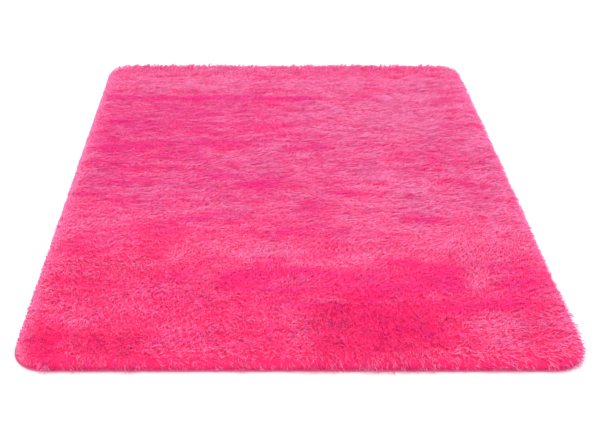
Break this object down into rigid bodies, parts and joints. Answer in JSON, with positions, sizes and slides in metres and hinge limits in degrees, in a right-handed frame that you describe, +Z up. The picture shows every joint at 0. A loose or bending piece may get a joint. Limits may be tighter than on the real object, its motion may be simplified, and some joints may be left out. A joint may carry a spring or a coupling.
{
  "type": "shag rug",
  "caption": "Rectangular shag rug with rounded corners: long soft pile on a flat base cloth, lying flat on the floor.",
  "frame": {"origin": "on the floor under the middle of the rug", "axes": "+X across the width to the right, +Y along the length to the back edge, +Z up out of the pile"},
  "size_m": [1.2, 1.6, 0.0365],
  "materials": {
    "backing_cloth": "plain dull pink base cloth with a smooth turned edge",
    "shag_pile": "long fluffy hot pink pile with a soft sheen, darker at the roots"
  },
  "bodies": {
    "root": {"backing": "backing_cloth", "pile": "shag_pile"}
  },
  "joints": []
}
